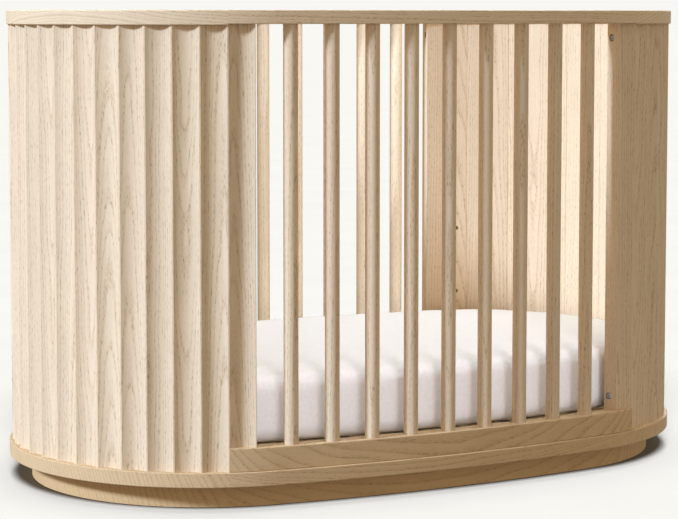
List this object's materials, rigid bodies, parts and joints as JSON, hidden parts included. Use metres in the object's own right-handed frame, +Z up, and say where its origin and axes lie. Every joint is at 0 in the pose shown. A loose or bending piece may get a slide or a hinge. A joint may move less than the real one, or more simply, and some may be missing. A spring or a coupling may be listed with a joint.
{
  "type": "baby crib",
  "caption": "Oval wooden baby crib with fluted curved ends, round spindle sides, a recessed plinth, a hung slatted support and a thick oval mattress.",
  "frame": {"origin": "on the floor, under the middle of the crib", "axes": "+X along the length, +Y towards the rear side, +Z up"},
  "size_m": [1.4758, 0.8738, 0.95],
  "materials": {
    "oak_wall": "light natural oak, matt lacquer, upright grain",
    "oak_spindle": "light natural oak, turned and matt lacquered",
    "oak_rail": "light natural oak cut to a curve from wide boards, matt lacquer",
    "oak_plinth": "natural oak, matt lacquer, level grain",
    "frame_wood": "plain planed hardwood",
    "dowel_wood": "fluted beech dowel",
    "bolt_steel": "zinc plated",
    "screw_steel": "zinc plated",
    "dark_steel": "black oxide",
    "insert_brass": "turned",
    "hanger_steel": "black powder coat",
    "felt": "pressed felt",
    "mattress_cover": "plain woven cotton fitted sheet over foam"
  },
  "bodies": {
    "crib": {"base_band_front": "oak_rail", "base_band_left": "oak_rail", "base_band_rear": "oak_rail", "base_band_right": "oak_rail", "bottom_rail_front": "oak_rail", "bottom_rail_rear": "oak_rail", "end_dowels": "dowel_wood", "end_staves_left": "oak_wall", "end_staves_right": "oak_wall", "glides": "felt", "panel_bolt_inserts": "insert_brass", "panel_bolt_washers": "dark_steel", "panel_bolts": "bolt_steel", "plinth_blocks": "frame_wood", "plinth_front": "oak_plinth", "plinth_left": "oak_plinth", "plinth_rear": "oak_plinth", "plinth_right": "oak_plinth", "plinth_screws": "screw_steel", "post_front_left": "oak_wall", "post_front_right": "oak_wall", "post_rear_left": "oak_wall", "post_rear_right": "oak_wall", "shoulder_bolts": "bolt_steel", "side_dowels": "dowel_wood", "spindle_front_1": "oak_spindle", "spindle_front_2": "oak_spindle", "spindle_front_3": "oak_spindle", "spindle_front_4": "oak_spindle", "spindle_front_5": "oak_spindle", "spindle_front_6": "oak_spindle", "spindle_front_7": "oak_spindle", "spindle_front_8": "oak_spindle", "spindle_front_9": "oak_spindle", "spindle_rear_1": "oak_spindle", "spindle_rear_2": "oak_spindle", "spindle_rear_3": "oak_spindle", "spindle_rear_4": "oak_spindle", "spindle_rear_5": "oak_spindle", "spindle_rear_6": "oak_spindle", "spindle_rear_7": "oak_spindle", "spindle_rear_8": "oak_spindle", "spindle_rear_9": "oak_spindle", "support_inserts": "insert_brass", "top_rail_front": "oak_rail", "top_rail_left": "oak_rail", "top_rail_rear": "oak_rail", "top_rail_right": "oak_rail"},
    "support": {"support_centre_rail": "frame_wood", "support_dowels": "frame_wood", "support_end_left": "frame_wood", "support_end_right": "frame_wood", "support_hangers": "hanger_steel", "support_side_front": "frame_wood", "support_side_rear": "frame_wood", "support_slats": "frame_wood", "hanger_screws": "screw_steel", "slat_screws": "screw_steel"},
    "mattress": {"mattress": "mattress_cover"}
  },
  "joints": [
    {"name": "support_height", "type": "slide", "parent": "crib", "child": "support", "axis": [0, 0, 1], "range_m": [0, 0.3]},
    {"name": "mattress_lift", "type": "slide", "parent": "support", "child": "mattress", "axis": [0, 0, 1], "range_m": [0, 0.86]}
  ]
}
